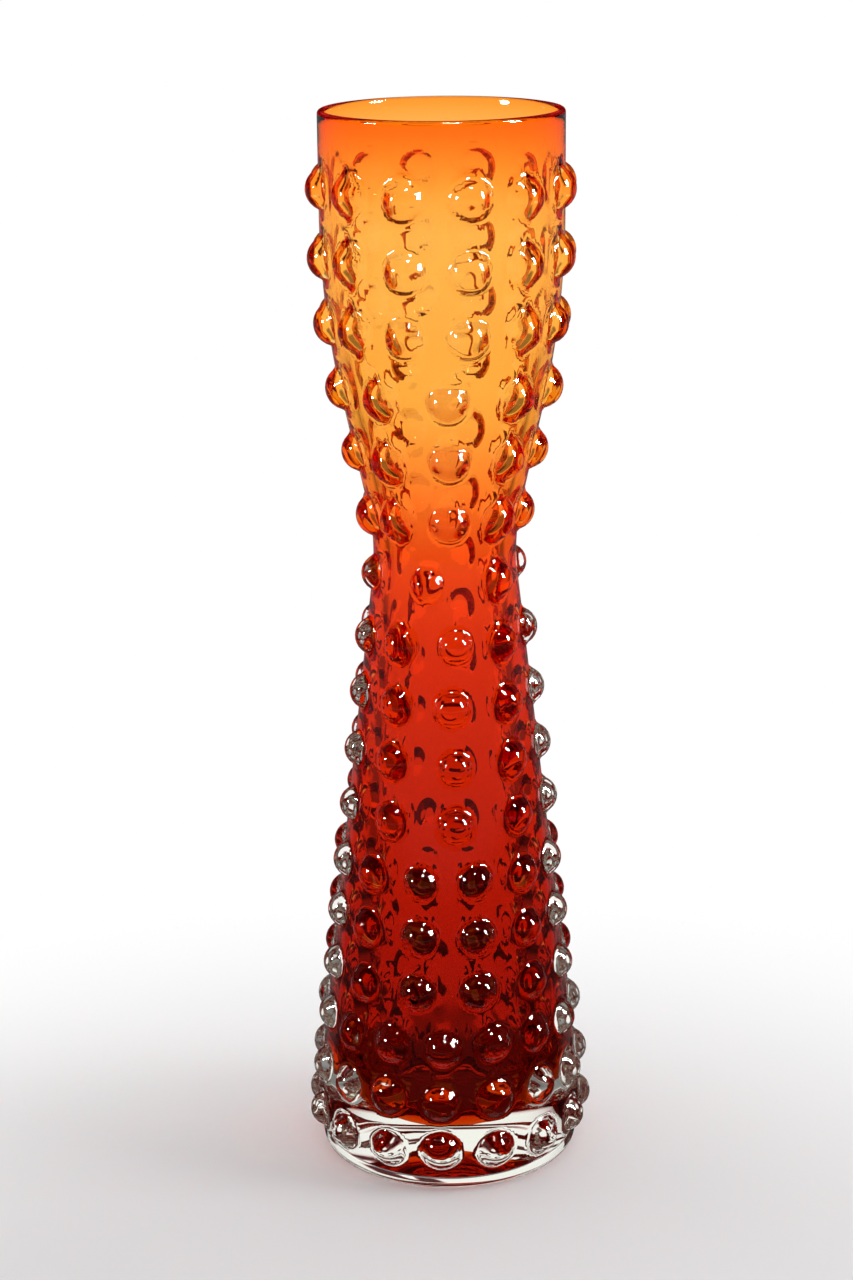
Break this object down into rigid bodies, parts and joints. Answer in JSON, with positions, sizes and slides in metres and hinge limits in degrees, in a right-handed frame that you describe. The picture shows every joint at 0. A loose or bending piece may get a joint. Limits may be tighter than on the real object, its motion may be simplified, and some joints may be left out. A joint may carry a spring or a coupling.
{
  "type": "hobnail glass vase",
  "caption": "Tall waisted vase of blown glass: a coloured inner layer under thick clear glass, with rows of round hobnails below a plain mouth band.",
  "frame": {"origin": "middle of the flat resting face under the base", "axes": "+Z is the vessel's axis, up towards the mouth; the side that faces -Y is the one in the picture, and +X is to its right"},
  "size_m": [0.0833, 0.0834, 0.3],
  "materials": {
    "clear_glass": "clear blown glass, fire polished",
    "colour_glass": "transparent coloured glass, shading from amber orange at the mouth to dark red at the foot"
  },
  "bodies": {
    "root": {"clear_casing": "clear_glass", "colour_lining": "colour_glass"}
  },
  "joints": []
}
